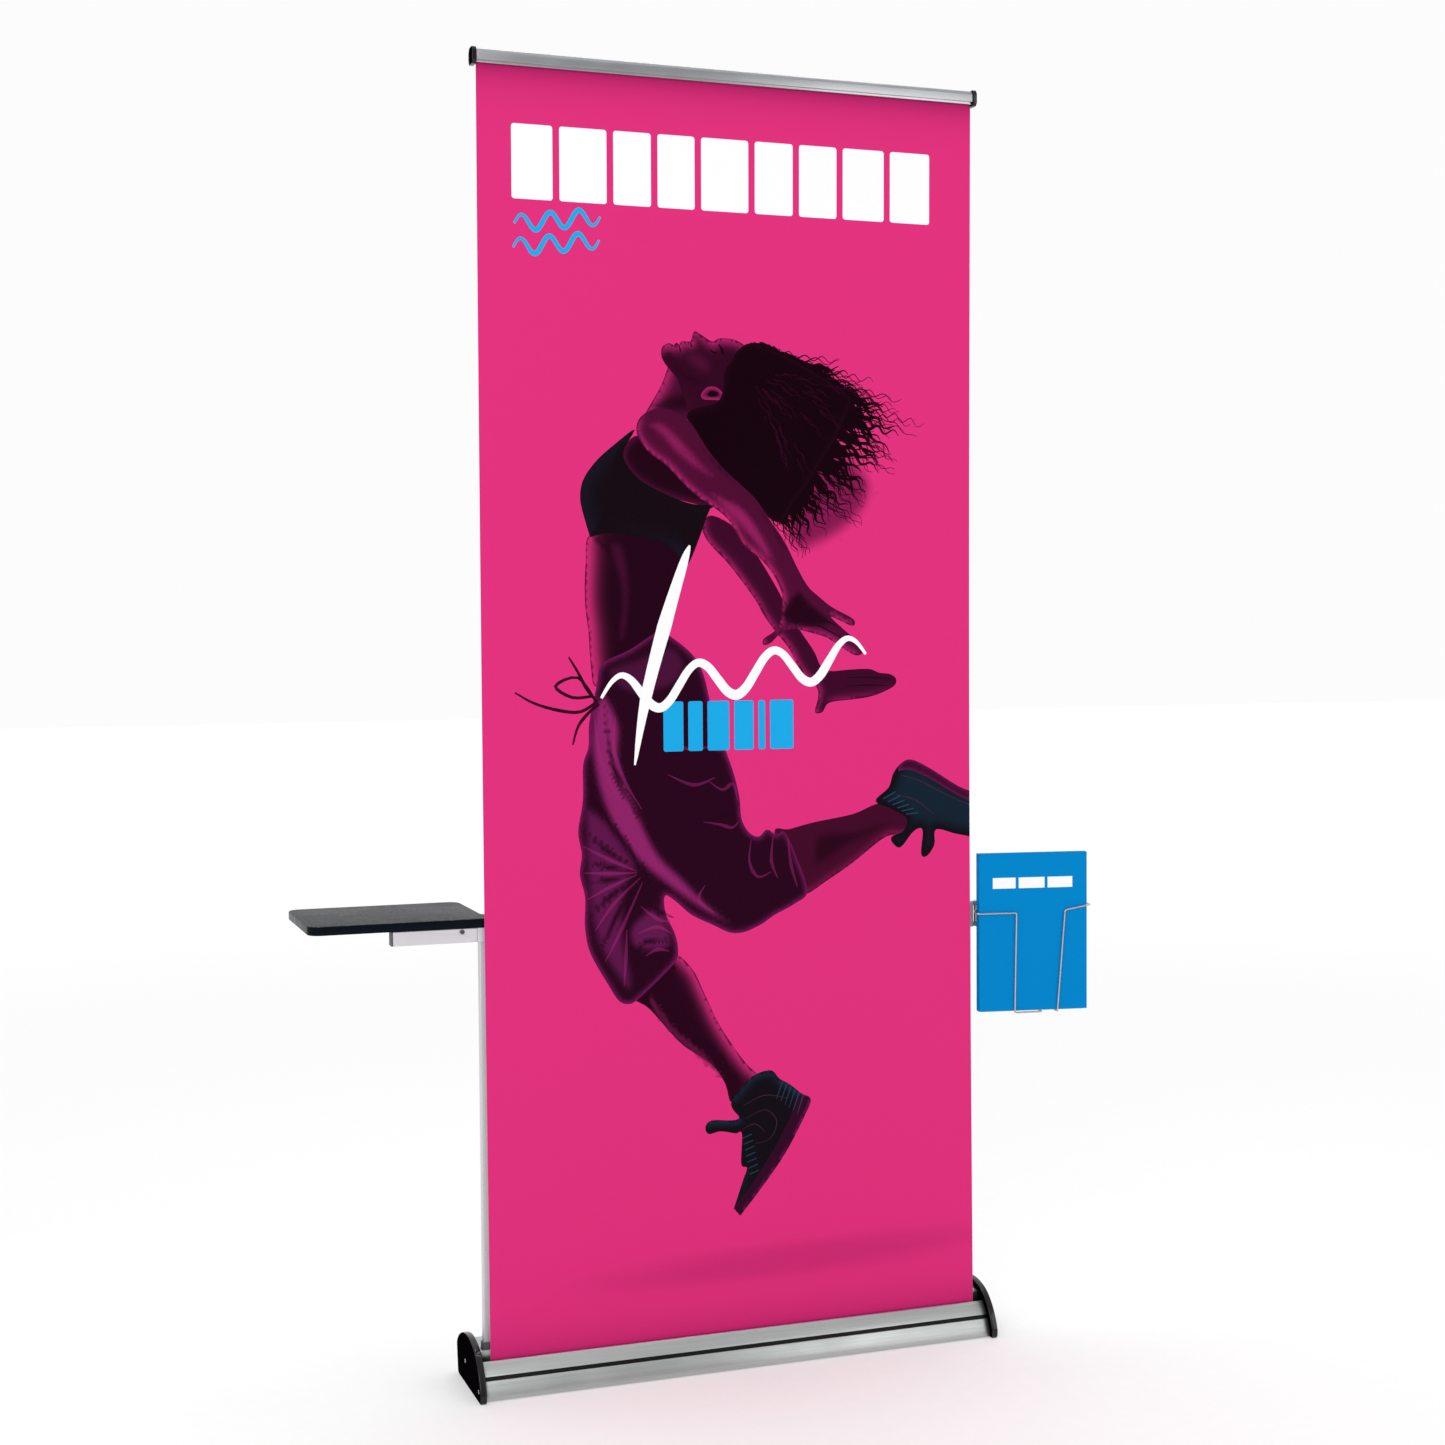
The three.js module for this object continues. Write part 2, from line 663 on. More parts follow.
/** The tray: the floor of the base and the lower half of its front face. */
function tray() {
  const inner = CAP_PROUD + SKIN + GAP;
  const floor = TRAY_LIFT + SKIN;
  const rear = BASE_BACK - REAR_SLANT - CAP_PROUD - SKIN - GAP;
  const toe = domePoint(0, CAP_PROUD);
  const points = [
    [toe.x - TRAY_TOE, TRAY_LIFT],
    ...domeStretch(0, domeStage("y", GROOVE_BOTTOM, CAP_PROUD, 0, 1), CAP_PROUD, PANEL_STEPS),
    ...frontStretch(GROOVE_BOTTOM, FLANGE_TOP, inner, 3),
    ...frontStretch(
      floor + TRAY_FLANGE_BASE,
      FLANGE_TOP,
      inner + TRAY_FLANGE,
      RECESS_STEPS,
    ).reverse(),
    [domePoint(0, inner + TRAY_FLANGE).x + TRAY_INNER_TOE, floor],
    [rear - SKIN, floor],
    [rear - SKIN, TRAY_LIP],
    [rear, TRAY_LIP],
    [rear, TRAY_LIFT],
  ];
  const geometry = pushed(outline(points.reverse()), 2 * EXTRUSION_END);
  return alongX(piece("base_tray", "anodised", geometry), -EXTRUSION_END);
}

/** The upper half of the front face, which ends in the lip in front of the banner. */
function frontPanel() {
  const points = [
    ...frontStretch(GROOVE_TOP, FRONT_LIP, CAP_PROUD, PANEL_STEPS),
    ...frontStretch(GROOVE_TOP, FRONT_LIP, CAP_PROUD + SKIN, PANEL_STEPS).reverse(),
  ];
  const lip = points[PANEL_STEPS][0];
  const curl = [
    [lip + CURL_RADIUS, FRONT_LIP + CURL_RISE],
    [lip + SKIN + 1, FRONT_LIP],
    [lip + SKIN + 1, FRONT_LIP - CURL_DEPTH],
    [lip + SKIN + 1 - CURL_WALL, FRONT_LIP - CURL_DEPTH],
  ];
  points.splice(PANEL_STEPS + 1, 1, ...curl);
  const geometry = pushed(outline(points.reverse()), 2 * EXTRUSION_END);
  return alongX(piece("front_panel", "anodised", geometry), -EXTRUSION_END);
}

/** The dark strip pressed into the groove between the tray and the front panel. */
function accentStrip() {
  const outer = CAP_PROUD + STRIP_RECESS;
  const points = [
    ...frontStretch(GROOVE_BOTTOM + GAP, GROOVE_TOP - GAP, outer, 2),
    ...frontStretch(GROOVE_BOTTOM + GAP, GROOVE_TOP - GAP, CAP_PROUD + SKIN, 2).reverse(),
  ];
  const geometry = pushed(outline(points.reverse()), 2 * EXTRUSION_END);
  return alongX(piece("accent_strip", "black_strip", geometry), -EXTRUSION_END);
}

/** The rear cover: the wall behind the slot, the domed top and the rear wall. */
function rearCover() {
  const inner = CAP_PROUD + SKIN;
  const from = domeStage("x", SLOT_BACK + 2, CAP_PROUD, 0, 1);
  const fromInner = domeStage("x", SLOT_BACK + SKIN + COVER_EDGE, inner, 0, 1);
  const to = domeStage("y", TRAY_LIFT + 1, CAP_PROUD, 3, 4);
  const toInner = domeStage("y", TRAY_LIFT + 1, inner, 3, 4);
  const points = [
    [SLOT_BACK, COVER_WALL_BOTTOM],
    [SLOT_BACK, domePoint(from, CAP_PROUD).y - COVER_EDGE],
    ...domeStretch(from, 1, CAP_PROUD, 2),
    ...domeStretch(1, 2, CAP_PROUD, COVER_STEPS).slice(1),
    ...domeStretch(2, 3, CAP_PROUD, 3).slice(1),
    ...domeStretch(3, to, CAP_PROUD, 1).slice(1),
    ...domeStretch(3, toInner, inner, 1).reverse(),
    ...domeStretch(2, 3, inner, 3).reverse().slice(1),
    ...domeStretch(1, 2, inner, COVER_STEPS).reverse().slice(1),
    ...domeStretch(fromInner, 1, inner, 2).reverse().slice(1),
    [SLOT_BACK + SKIN, domePoint(fromInner, inner).y - COVER_EDGE],
    [SLOT_BACK + SKIN, COVER_WALL_BOTTOM],
  ];
  const shell = pushed(outline(points.reverse()), 2 * EXTRUSION_END);
  const holes = [-POST_X, POST_X].map((x) => {
    const width = POST_WIDTH + 2 * (SLIP + SOCKET_WALL + GAP);
    const depth = POST_DEPTH + 2 * (SLIP + SOCKET_WALL + GAP);
    const centre = x + EXTRUSION_END;
    const bottom = COVER_WALL_BOTTOM + COVER_HOLE_DROP;
    const low = [POST_Y - depth / 2, bottom, centre - width / 2];
    const high = [POST_Y + depth / 2, BASE_HEIGHT, centre + width / 2];
    return block(low, high);
  });
  const poleHole = pipeCutter(POLE_RADIUS + SLIP + SOCKET_WALL + 2 * GAP, BASE_HEIGHT, ROUND);
  poleHole.translate(POLE_Y, COVER_WALL_BOTTOM + COVER_HOLE_DROP, EXTRUSION_END);
  const geometry = cut(shell, ...holes, poleHole);
  return alongX(piece("rear_cover", "anodised", geometry), -EXTRUSION_END);
}

/** A soft strip under the base. */
function footStrip(name, x) {
  const geometry = pushed(
    rectangle(FOOT_WIDTH, FOOT_BACK - FOOT_FRONT, FOOT_CORNER),
    TRAY_LIFT - GAP,
  );
  return at(piece(name, "rubber", geometry), x, (FOOT_FRONT + FOOT_BACK) / 2, 0);
}

/** The roller's tube, end plugs, hub, axles and spring, with the turns of banner left on it. */
function roller() {
  const group = new THREE.Group();
  const bore = ROLLER_RADIUS - ROLLER_WALL;
  const tube = piece("roller_tube", "silver", pipe(ROLLER_RADIUS, bore, 2 * ROLLER_END));
  group.add(at(pointed(tube, "x"), -ROLLER_END, 0, 0));

  const woundInner = ROLLER_RADIUS + GAP;
  const wound = pipe(woundInner + WOUND_DEPTH, woundInner, BANNER_WIDTH);
  group.add(at(pointed(piece("wound_banner", "banner", wound), "x"), -BANNER_WIDTH / 2, 0, 0));

  const flange = [
    [AXLE_RADIUS + SLIP, 0],
    [bore - GAP, 0],
    [bore - GAP, PLUG_LENGTH],
    [ROLLER_RADIUS, PLUG_LENGTH],
    [ROLLER_RADIUS, PLUG_LENGTH + PLUG_FLANGE],
    [AXLE_RADIUS + SLIP, PLUG_LENGTH + PLUG_FLANGE],
  ];
  for (const side of [-1, 1]) {
    const name = side < 0 ? "roller_plug_left" : "roller_plug_right";
    const plug = piece(name, "dark_plastic", turned(flange));
    plug.rotation.z = (-side * Math.PI) / 2;
    group.add(at(plug, side * (ROLLER_END - PLUG_LENGTH + GAP), 0, 0));
  }

  const axleEnd = CAP_FACE + AXLE_SEAT - GAP;
  const axle = piece("spring_axle", "steel", rod(AXLE_RADIUS, SPRING_AXLE_LENGTH));
  group.add(at(pointed(axle, "x"), -axleEnd, 0, 0));
  const stub = piece("stub_axle", "steel", rod(AXLE_RADIUS, STUB_LENGTH));
  group.add(at(pointed(stub, "x"), axleEnd - STUB_LENGTH, 0, 0));

  const hub = piece("spring_hub", "dark_plastic", pipe(bore - GAP, AXLE_RADIUS + SLIP, HUB_LENGTH));
  const hubStart = SPRING_AXLE_LENGTH - axleEnd - HUB_LENGTH - HUB_INSET;
  group.add(at(pointed(hub, "x"), hubStart, 0, 0));

  const coil = [];
  const springStart = hubStart - SPRING_LENGTH - 2 * SPRING_WIRE_RADIUS;
  for (let i = 0; i <= SPRING_TURNS * SPRING_STEPS; i++) {
    const angle = (i / SPRING_STEPS) * 2 * Math.PI;
    const x = springStart + (SPRING_LENGTH * i) / (SPRING_TURNS * SPRING_STEPS);
    const [y, z] = [SPRING_RADIUS * Math.cos(angle), SPRING_RADIUS * Math.sin(angle)];
    coil.push(new THREE.Vector3(x, y, z));
  }
  group.add(piece("torsion_spring", "steel", wireAlong(coil, SPRING_WIRE_RADIUS, 5)));

  return at(group, 0, ROLLER_Y, ROLLER_Z);
}

/** The rod that turns the banner upwards at the slot. */
function guideRod() {
  const end = CAP_FACE + AXLE_SEAT - GAP;
  const guide = piece("guide_rod", "steel", rod(GUIDE_RADIUS, 2 * end));
  return at(pointed(guide, "x"), -end, guideY(), GUIDE_Z);
}

/** A thin strip between two lists of [Y, Z] points, BANNER_WIDTH long. */
function strip(name, near, far) {
  const geometry = pushed(outline([...near, ...far.reverse()].reverse()), BANNER_WIDTH);
  return alongX(piece(name, "banner", geometry), -BANNER_WIDTH / 2);
}

/** The hanging banner, from the guide rod up to the rail. */
function bannerSheet() {
  const half = BANNER_THICKNESS / 2;
  const low = GUIDE_Z + GAP;
  const bowAt = (share) => BANNER_BOW * Math.sin(Math.PI * share);
  const near = [[-half, low]];
  const far = [[half, low]];
  for (let i = 0; i <= BOW_STEPS; i++) {
    const z = FRONT_LIP + ((RAIL_LIP_BOTTOM - FRONT_LIP) * i) / BOW_STEPS;
    near.push([bowAt(i / BOW_STEPS) - half, z]);
    far.push([bowAt(i / BOW_STEPS) + half, z]);
  }
  near.push([-half, BANNER_TOP]);
  far.push([half, BANNER_TOP]);
  return strip("banner_sheet", near.reverse(), far.reverse());
}

/** The banner's run round the guide rod and back to the underside of the roller. */
function bannerLead() {
  const inner = GUIDE_RADIUS + GAP;
  const bend = (radius) => {
    const points = [];
    for (let i = 0; i <= LEAD_STEPS; i++) {
      const angle = Math.PI + ((LEAD_END - Math.PI) * i) / LEAD_STEPS;
      const y = guideY() + radius * Math.cos(angle);
      points.push([y, GUIDE_Z + radius * Math.sin(angle)]);
    }
    return points;
  };
  const reach = ROLLER_RADIUS + GAP + WOUND_DEPTH + GAP;
  const rollerPoint = (radius) => [
    ROLLER_Y + radius * Math.cos(LEAD_END),
    ROLLER_Z + radius * Math.sin(LEAD_END),
  ];
  const near = [...bend(inner), rollerPoint(reach)];
  const far = [...bend(inner + LEAD_THICKNESS), rollerPoint(reach + LEAD_THICKNESS)];
  return strip("banner_lead", near, far);
}

/** A socket that takes a post or pole, closed at its foot. */
function socketGeometry(outer, inner, steps) {
  const height = SOCKET_TOP - SOCKET_BOTTOM;
  const body = pushed(outer, height, 0, steps);
  const hollow = pushed(inner, height, 0, steps).translate(0, 0, SOCKET_FLOOR);
  return cut(body, hollow);
}

function postSocket(name, x) {
  const inner = rectangle(POST_WIDTH + 2 * SLIP, POST_DEPTH + 2 * SLIP, POST_CORNER);
  const grow = 2 * (SLIP + SOCKET_WALL);
  const outer = rectangle(POST_WIDTH + grow, POST_DEPTH + grow, POST_CORNER + SOCKET_WALL);
  const socket = piece(name, "dark_plastic", socketGeometry(outer, inner, CORNER_STEPS));
  return at(socket, x, POST_Y, SOCKET_BOTTOM);
}

function circle(radius) {
  return new THREE.Shape().absarc(0, 0, radius, 0, 2 * Math.PI, false);
}

function poleSocket() {
  const outer = circle(POLE_RADIUS + SLIP + SOCKET_WALL);
  const socket = socketGeometry(outer, circle(POLE_RADIUS + SLIP), ROUND / 2);
  return at(piece("pole_socket", "dark_plastic", socket), 0, POLE_Y, SOCKET_BOTTOM);
}

/** One section of the pole. */
function poleTube(name, radius, bottom, top) {
  const tube = piece(name, "silver", pipe(radius, radius - POLE_WALL, top - bottom));
  return at(pointed(tube, "z"), 0, POLE_Y, bottom);
}

/** A ribbed collar round the end of a section, which clamps the next section when it is turned. */
function twistLock(name, radius, end) {
  const outer = radius + SLIP + LOCK_WALL;
  const shape = new THREE.Shape();
  const steps = LOCK_RIBS * 4;
  for (let i = 0; i < steps; i++) {
    const angle = (i / steps) * 2 * Math.PI;
    const reach = outer - (i % 4 < 2 ? 0 : LOCK_RIB_HEIGHT);
    const place = [reach * Math.cos(angle), reach * Math.sin(angle)];
    if (i === 0) shape.moveTo(...place);
    else shape.lineTo(...place);
  }
  shape.closePath();
  const body = pushed(shape, LOCK_SKIRT + LOCK_CROWN);
  const wide = pipeCutter(radius + SLIP, LOCK_SKIRT + GAP + 1, ROUND).rotateX(Math.PI / 2);
  const narrow = pipeCutter(radius - POLE_STEP + SLIP, LOCK_SKIRT + LOCK_CROWN + 2, ROUND);
  narrow.rotateX(Math.PI / 2).translate(0, 0, -1);
  const lock = piece(name, "black_gloss", cut(body, wide.translate(0, 0, -1), narrow));
  return at(lock, 0, POLE_Y, end - LOCK_SKIRT);
}

/** The three sections of the pole, its two locks and the head that carries the rail. */
function pole() {
  const group = new THREE.Group();
  const middleRadius = POLE_RADIUS - POLE_STEP;
  const upperRadius = middleRadius - POLE_STEP;
  const headTop = RAIL_LIP_BOTTOM - GAP;
  const middleBottom = LOWER_TUBE_TOP - POLE_OVERLAP;
  const upperBottom = MIDDLE_TUBE_TOP - POLE_OVERLAP;
  group.add(poleTube("pole_lower_tube", POLE_RADIUS, POLE_BOTTOM, LOWER_TUBE_TOP));
  group.add(poleTube("pole_middle_tube", middleRadius, middleBottom, MIDDLE_TUBE_TOP));
  group.add(poleTube("pole_upper_tube", upperRadius, upperBottom, headTop - HEAD_LEDGE));
  group.add(twistLock("lower_twist_lock", POLE_RADIUS, LOWER_TUBE_TOP));
  group.add(twistLock("upper_twist_lock", middleRadius, MIDDLE_TUBE_TOP));
  group.add(poleHead(upperRadius, headTop));
  return group;
}

/** The block on top of the pole: a ledge below the rail and a hook behind it. */
function poleHead(radius, top) {
  const back = POLE_Y + radius + HEAD_WALL;
  const front = GRIP_GAP + HEAD_SETBACK;
  const railBack = RAIL_CAP_BACK - RAIL_CAP_PROUD;
  const corners = [
    [front, top - HEAD_LEDGE],
    [POLE_Y - radius - HEAD_WALL, top - HEAD_GRIP - HEAD_LEDGE],
    [back, top - HEAD_GRIP - HEAD_LEDGE],
    [back, top + HEAD_SHOULDER],
    [railBack + GAP + HEAD_HOOK, top + HEAD_HOOK_HEIGHT],
    [railBack + GAP, top + HEAD_HOOK_HEIGHT],
    [railBack + GAP, top],
    [front, top],
  ];
  const body = pushed(outline(corners), HEAD_WIDTH);
  const bore = pipeCutter(radius + GAP, HEAD_GRIP + 1 + GAP, ROUND);
  bore.translate(POLE_Y, top - HEAD_GRIP - HEAD_LEDGE - 1, HEAD_WIDTH / 2);
  const head = piece("pole_head", "black_gloss", cut(body, bore));
  return alongX(head, -HEAD_WIDTH / 2);
}

/** The rail: a back extrusion, a front jaw that swings open, and two end caps. */
function rail() {
  const group = new THREE.Group();
  const half = BANNER_THICKNESS / 2 + GRIP_GAP;
  const length = BANNER_WIDTH + 2 * GAP;
  const back = RAIL_CAP_BACK - RAIL_CAP_PROUD;
  const front = RAIL_CAP_PROUD - RAIL_CAP_FRONT;
  const face = RAIL_LIP_BOTTOM + RAIL_LIP_HEIGHT;
  const hookTop = RAIL_TOP - JAW_HOOK;

  const backCorners = [
    [half, RAIL_LIP_BOTTOM],
    [back - 4, RAIL_LIP_BOTTOM],
    [back, RAIL_LIP_BOTTOM + 6],
    [back, RAIL_TOP - 9],
    [back - 5, RAIL_TOP - 1],
    [3, RAIL_TOP],
    [JAW_PIVOT_Y + GAP, RAIL_TOP],
    [JAW_PIVOT_Y + GAP, RAIL_TOP - 3],
    [half, RAIL_TOP - 3],
  ];
  const backShape = rounded(backCorners, [0.5, 3, 3, 5, 4, 1, 0, 0, 0.5]);
  const railBack = piece("rail_back", "anodised", pushed(backShape, length));
  group.add(alongX(railBack, -length / 2));

  const jawCorners = [
    [JAW_PIVOT_Y - GAP, RAIL_TOP],
    [front + 2.5, RAIL_TOP - 1.5],
    [front, RAIL_TOP - 7],
    [front, face],
    [front + RAIL_LIP_RECESS, face],
    [front + RAIL_LIP_RECESS, RAIL_LIP_BOTTOM],
    [-half, RAIL_LIP_BOTTOM],
    [-half, hookTop],
    [JAW_PIVOT_Y - GAP, hookTop],
  ];
  const jawShape = rounded(jawCorners, [0.5, 3, 3, 0.8, 0, 1, 0.5, 0.5, 0]);
  const jaw = piece("rail_front_jaw", "anodised", pushed(jawShape, length));
  group.add(alongX(jaw, -length / 2));

  const top = RAIL_BOTTOM + RAIL_CAP_HEIGHT;
  const capCorners = [
    [-RAIL_CAP_FRONT + 5, RAIL_BOTTOM],
    [RAIL_CAP_BACK - 5, RAIL_BOTTOM],
    [RAIL_CAP_BACK, RAIL_BOTTOM + 7],
    [RAIL_CAP_BACK, top - 9],
    [RAIL_CAP_BACK - 6, top],
    [-RAIL_CAP_FRONT + 4, top],
    [-RAIL_CAP_FRONT, top - 7],
    [-RAIL_CAP_FRONT, RAIL_BOTTOM + 5],
  ];
  const capShape = rounded(capCorners, [3, 3, 4, 5, 5, 4, 4, 4]);
  for (const side of [-1, 1]) {
    const name = side < 0 ? "rail_cap_left" : "rail_cap_right";
    const cap = piece(name, "black_gloss", pushed(capShape, RAIL_CAP_THICKNESS, 1.2));
    const start = length / 2 + GAP;
    group.add(alongX(cap, side < 0 ? -start - RAIL_CAP_THICKNESS : start));
  }
  return group;
}

/** An upright tube that stands in its socket. */
function post(name, x, top) {
  const outer = rectangle(POST_WIDTH, POST_DEPTH, POST_CORNER);
  const inset = 2 * POST_WALL;
  outer.holes.push(
    rectangle(POST_WIDTH - inset, POST_DEPTH - inset, POST_CORNER - POST_WALL),
  );
  const tube = pushed(outer, top - POLE_BOTTOM);
  return at(piece(name, "silver", tube), x, POST_Y, POLE_BOTTOM);
}

/** The block over a post's upper end, with a pocket for the post cut from below. */
function bracketGeometry(height) {
  const back = BRACKET_FRONT + BRACKET_DEPTH - POST_Y;
  const front = BRACKET_FRONT - POST_Y;
  const body = block([-BRACKET_HALF, front, 0], [BRACKET_HALF, back, height]);
  const hollow = pushed(
    rectangle(POST_WIDTH + 2 * SLIP, POST_DEPTH + 2 * SLIP, POST_CORNER),
    height - BRACKET_ROOF + 1,
  );
  return cut(body, hollow.translate(0, 0, -1));
}

/** The shelf's post, bracket with spigot, arm, screws, bars and top. */
function shelfUnit() {
  const group = new THREE.Group();
  const armBottom = ARM_TOP - ARM_HEIGHT;
  const postTop = ARM_TOP - BRACKET_ROOF - GAP;
  group.add(post("shelf_post", -POST_X, postTop));

  const armEnd = -POST_X - BRACKET_HALF - GAP;
  const armStart = armEnd - ARM_LENGTH;
  const wall = ARM_WALL + SLIP;
  const spigot = block(
    [-BRACKET_HALF - SPIGOT_LENGTH, ARM_FRONT + wall - POST_Y, wall],
    [1 - BRACKET_HALF, ARM_FRONT + ARM_DEPTH - wall - POST_Y, ARM_HEIGHT - wall],
  );
  const bracket = join(bracketGeometry(ARM_HEIGHT), spigot);
  group.add(at(piece("shelf_bracket", "silver", bracket), -POST_X, POST_Y, armBottom));

  const section = rectangle(ARM_DEPTH, ARM_HEIGHT, ARM_CORNER);
  const hollow = [ARM_DEPTH - 2 * ARM_WALL, ARM_HEIGHT - 2 * ARM_WALL];
  section.holes.push(rectangle(...hollow, ARM_INNER_CORNER));
  const screwX = armEnd - ARM_SCREW_INSET;
  const screwZ = ARM_HEIGHT / 2 - ARM_SCREW_DROP;
  const screwHole = pipeCutter(SCREW_SHANK_RADIUS + GAP, ARM_WALL + 2).rotateZ(Math.PI / 2);
  screwHole.translate(ARM_WALL + 1 - ARM_DEPTH / 2, screwZ, screwX - armStart);
  const arm = piece("shelf_arm", "silver", cut(pushed(section, ARM_LENGTH), screwHole));
  alongX(arm, armStart);
  arm.position.y = ARM_FRONT + ARM_DEPTH / 2;
  arm.position.z = ARM_TOP - ARM_HEIGHT / 2;
  group.add(arm);

  const plugFit = ARM_WALL + GAP;
  const plug = join(
    pushed(rectangle(ARM_DEPTH, ARM_HEIGHT, ARM_CORNER), ARM_PLUG_LIP),
    pushed(
      rectangle(ARM_DEPTH - 2 * plugFit, ARM_HEIGHT - 2 * plugFit, ARM_INNER_CORNER),
      ARM_PLUG_LIP + ARM_PLUG_DEPTH,
    ),
  );
  const armPlug = alongX(piece("arm_end_plug", "dark_plastic", plug), 0);
  const plugX = armStart - ARM_PLUG_LIP - GAP;
  group.add(at(armPlug, plugX, ARM_FRONT + ARM_DEPTH / 2, ARM_TOP - ARM_HEIGHT / 2));

  const lockScrew = piece("arm_lock_screw", "dark_plastic", screwGeometry(ARM_WALL + GAP));
  lockScrew.rotation.x = Math.PI;
  group.add(at(lockScrew, screwX, ARM_FRONT - GAP, ARM_TOP - ARM_SCREW_DROP));

  const edge = BANNER_WIDTH / 2;
  const shelfCorners = [
    [-edge - SHELF_REACH, SHELF_FRONT],
    [SHELF_TONGUE - edge, SHELF_FRONT],
    [SHELF_TONGUE - edge, SHELF_FRONT + SHELF_TONGUE_DEPTH],
    [SHELF_OVERLAP - edge, SHELF_FRONT + SHELF_TONGUE_DEPTH],
    [SHELF_OVERLAP - edge, SHELF_BACK],
    [-edge - SHELF_REACH, SHELF_BACK],
  ];
  const radii = [
    SHELF_CORNER,
    SHELF_NOTCH_CORNER,
    SHELF_INNER_CORNER,
    SHELF_INNER_CORNER,
    SHELF_CORNER,
    SHELF_CORNER,
  ];
  const top = rounded(shelfCorners, radii);
  const board = pushed(top, SHELF_THICKNESS, SHELF_EDGE, SHELF_CORNER_STEPS);
  const barXs = BAR_INSETS.map((inset) => armStart + inset);
  const holeDepth = SHELF_SCREW_LENGTH - BAR_THICKNESS + 1;
  const shelfHoles = barXs.flatMap((x) =>
    SHELF_SCREW_Y.map((y) => {
      const hole = pipeCutter(SCREW_SHANK_RADIUS + GAP, holeDepth + 1).rotateX(Math.PI / 2);
      return hole.translate(x, y, -1);
    }),
  );
  const shelf = piece("shelf_top", "shelf", cut(board, ...shelfHoles));
  group.add(at(shelf, 0, 0, ARM_TOP + GAP));

  barXs.forEach((x, i) => {
    const start = ARM_FRONT + ARM_DEPTH + GAP;
    const bar = block([-BAR_WIDTH / 2, start, 0], [BAR_WIDTH / 2, BAR_END, BAR_THICKNESS]);
    const holes = SHELF_SCREW_Y.map((y) => {
      const hole = pipeCutter(SCREW_SHANK_RADIUS + GAP, BAR_THICKNESS + 2).rotateX(Math.PI / 2);
      return hole.translate(0, y, -1);
    });
    const name = i === 0 ? "shelf_bar_outer" : "shelf_bar_inner";
    group.add(at(piece(name, "grey_plate", cut(bar, ...holes)), x, 0, ARM_TOP - BAR_THICKNESS));
    SHELF_SCREW_Y.forEach((y, j) => {
      const place = `${i === 0 ? "outer" : "inner"}_${j === 0 ? "front" : "rear"}`;
      const screw = piece(`shelf_screw_${place}`, "steel", screwGeometry(SHELF_SCREW_LENGTH - 1));
      screw.rotation.x = -Math.PI / 2;
      group.add(at(screw, x, y, ARM_TOP - BAR_THICKNESS - GAP));
    });
  });
  return group;
}

/** The pivot of the brochure pocket. */
function pivotPlace() {
  return [POST_X + BRACKET_HALF + LUG_REACH, BRACKET_FRONT + LUG_BACK];
}

/** The brochure pocket's post, its bracket with two lugs, and the pivot pin. */
function pocketMount() {
  const group = new THREE.Group();
  const bottom = BRACKET_TOP - POCKET_BRACKET_HEIGHT;
  group.add(post("pocket_post", POST_X, BRACKET_TOP - BRACKET_ROOF - GAP));
  const [pivotX, pivotY] = pivotPlace();
  const lug = (z) => {
    const eye = pipeCutter(LUG_RADIUS, LUG_HEIGHT).rotateX(Math.PI / 2);
    eye.translate(pivotX - POST_X, pivotY - POST_Y, z);
    const low = [BRACKET_HALF - 1, pivotY - POST_Y - LUG_RADIUS, z];
    const high = [pivotX - POST_X, pivotY - POST_Y + LUG_RADIUS, z + LUG_HEIGHT];
    return join(block(low, high), eye);
  };
  const lugTop = POCKET_BRACKET_HEIGHT - LUG_HEIGHT;
  const bore = pipeCutter(PIN_RADIUS + GAP, POCKET_BRACKET_HEIGHT + 2).rotateX(Math.PI / 2);
  bore.translate(pivotX - POST_X, pivotY - POST_Y, -1);
  const body = join(bracketGeometry(POCKET_BRACKET_HEIGHT), lug(0), lug(lugTop));
  const bracket = piece("pocket_bracket", "grey_plate", cut(body, bore));
  group.add(at(bracket, POST_X, POST_Y, bottom));

  const length = POCKET_BRACKET_HEIGHT + 2;
  const pinProfile = [
    [0, 0],
    [PIN_RADIUS, 0],
    [PIN_RADIUS, length],
    [PIN_HEAD_RADIUS, length],
    [PIN_HEAD_RADIUS - PIN_BEVEL, length + PIN_HEAD_HEIGHT],
    [0, length + PIN_HEAD_HEIGHT],
  ];
  const pin = pointed(piece("pocket_pivot_pin", "steel", turned(pinProfile, SMALL_ROUND)), "z");
  group.add(at(pin, pivotX, pivotY, bottom + GAP - 2));
  return group;
}

/** A wire of the pocket through its corners. */
function pocketWire(corners) {
  return wireAlong(bentWire(corners, WIRE_BEND), WIRE_RADIUS, WIRE_SIDES);
}

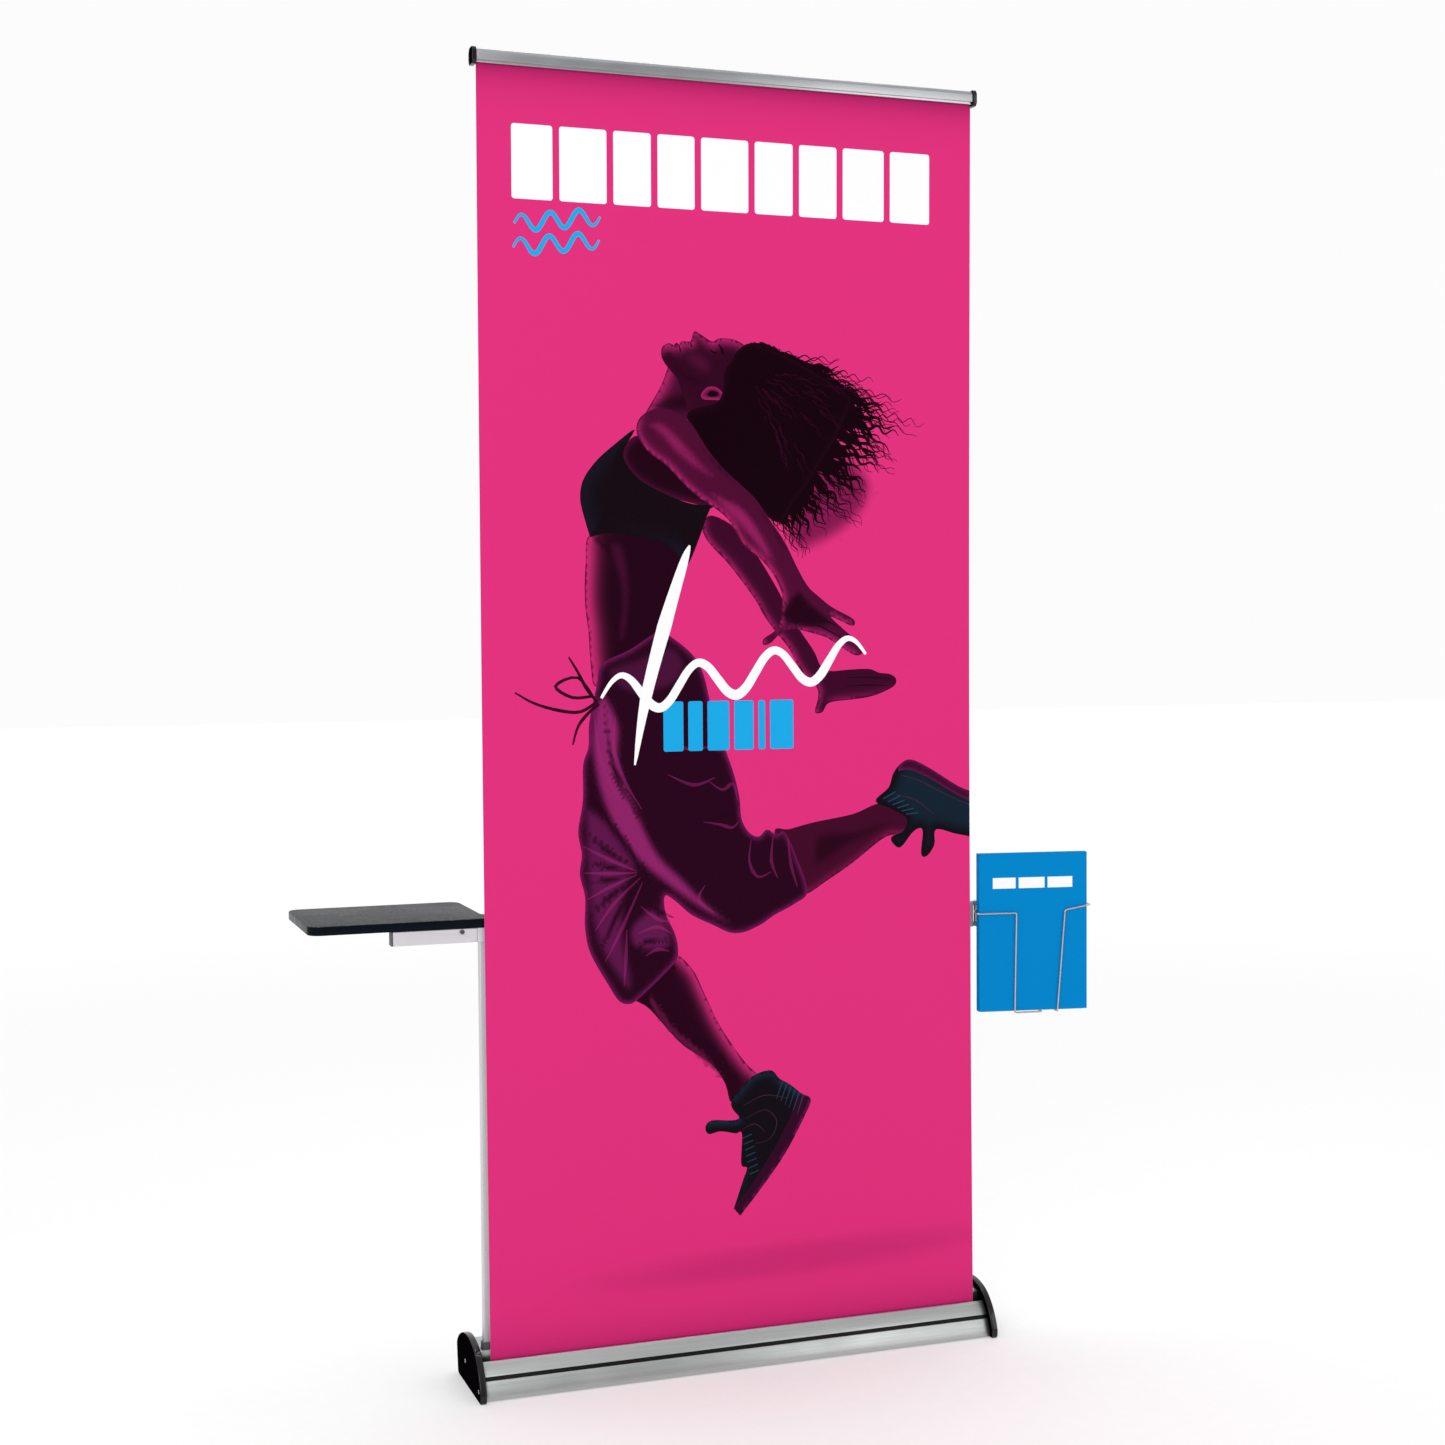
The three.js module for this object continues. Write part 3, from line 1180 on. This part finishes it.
/** The wire pocket and the brochures in it, in a frame that is turned about the pivot. */
function pocket() {
  const turn = new THREE.Group();
  const [pivotX, pivotY] = pivotPlace();
  turn.rotation.z = THREE.MathUtils.degToRad(POCKET_YAW);
  at(turn, pivotX, pivotY, 0);
  const frame = at(new THREE.Group(), -PIVOT_U, -PIVOT_V, 0);
  turn.add(frame);

  const bottom = BRACKET_TOP - POCKET_BRACKET_HEIGHT;
  const knuckleLength = POCKET_BRACKET_HEIGHT - 2 * (LUG_HEIGHT + SLIP);
  const knuckle = piece(
    "pocket_knuckle",
    "wire",
    pipe(KNUCKLE_RADIUS, PIN_RADIUS + SLIP, knuckleLength, SMALL_ROUND),
  );
  frame.add(at(pointed(knuckle, "z"), PIVOT_U, PIVOT_V, bottom + LUG_HEIGHT + SLIP));

  const edge = BROCHURE_WIDTH / 2 + WIRE_SIDE_GAP;
  const front = -WIRE_RADIUS - GAP;
  const base = BROCHURE_BOTTOM - WIRE_DROP;
  const weld = PIVOT_U + KNUCKLE_RADIUS + GAP + WIRE_RADIUS;
  const leftWire = [
    [weld, PIVOT_V, WIRE_TOP + LEFT_WIRE_RISE],
    [weld, POCKET_REAR, WIRE_TOP + LEFT_WIRE_RISE],
    [-edge, POCKET_REAR, WIRE_TOP + LEFT_WIRE_RISE],
    [-edge, front, WIRE_TOP],
    [LEFT_WIRE_TOP_U, front, WIRE_TOP],
    [LEFT_WIRE_BOTTOM_U, front, base],
    [BASE_LOOP_U, front + 1, base],
    [BASE_LOOP_U, POCKET_REAR, base],
  ];
  frame.add(piece("pocket_wire_left", "wire", pocketWire(leftWire)));

  const rightTop = WIRE_TOP + WIRE_RISE;
  const rightWire = [
    [RIGHT_WIRE_TOP_U, POCKET_REAR, rightTop],
    [edge + RIGHT_WIRE_LEAD, POCKET_REAR, rightTop],
    [edge + RIGHT_WIRE_LEAD, front, rightTop],
    [RIGHT_WIRE_TOP_U, front, WIRE_TOP + RIGHT_WIRE_CORNER],
    [RIGHT_WIRE_BOTTOM_U, front, base],
    [RIGHT_WIRE_BOTTOM_U, POCKET_REAR, base],
  ];
  frame.add(piece("pocket_wire_right", "wire", pocketWire(rightWire)));

  const backV = POCKET_REAR + 2 * WIRE_RADIUS + GAP;
  const backEdge = edge - WIRE_RADIUS;
  const backWire = [
    [weld, backV, WIRE_TOP - BACK_WIRE_DROP],
    [weld, backV, base],
    [backEdge, backV, base],
    [backEdge, backV, rightTop + BACK_WIRE_RISE],
  ];
  frame.add(piece("pocket_wire_back", "wire", pocketWire(backWire)));

  const half = BROCHURE_WIDTH / 2;
  const stack = block(
    [-half, 0, BROCHURE_BOTTOM],
    [half, BROCHURE_STACK, BROCHURE_BOTTOM + BROCHURE_HEIGHT],
  );
  frame.add(piece("brochures", "brochure", stack));
  return turn;
}

/** The base with everything that is fixed in it. */
function base() {
  const group = new THREE.Group();
  group.add(tray(), frontPanel(), accentStrip(), rearCover());
  group.add(endCap("end_cap_left", -1), endCap("end_cap_right", 1));
  const axleScrewLength = CAP_THICKNESS - CAP_RECESS - SCREW_HEAD_HEIGHT - AXLE_SEAT - GAP;
  for (const side of [-1, 1]) {
    const hand = side < 0 ? "left" : "right";
    group.add(capScrew(`axle_screw_${hand}`, side, ROLLER_Y, ROLLER_Z, axleScrewLength));
    group.add(capScrew(`cap_screw_${hand}`, side, CAP_SCREW_Y, CAP_SCREW_Z, CAP_SCREW_LENGTH));
  }
  group.add(footStrip("foot_strip_left", -FOOT_SPREAD));
  group.add(footStrip("foot_strip_centre", 0));
  group.add(footStrip("foot_strip_right", FOOT_SPREAD));
  group.add(guideRod(), poleSocket());
  group.add(postSocket("post_socket_left", -POST_X), postSocket("post_socket_right", POST_X));
  return group;
}

const stand = new THREE.Group();
stand.add(base(), roller(), bannerLead(), bannerSheet());
stand.add(pole(), rail(), shelfUnit(), pocketMount(), pocket());

export default stand;
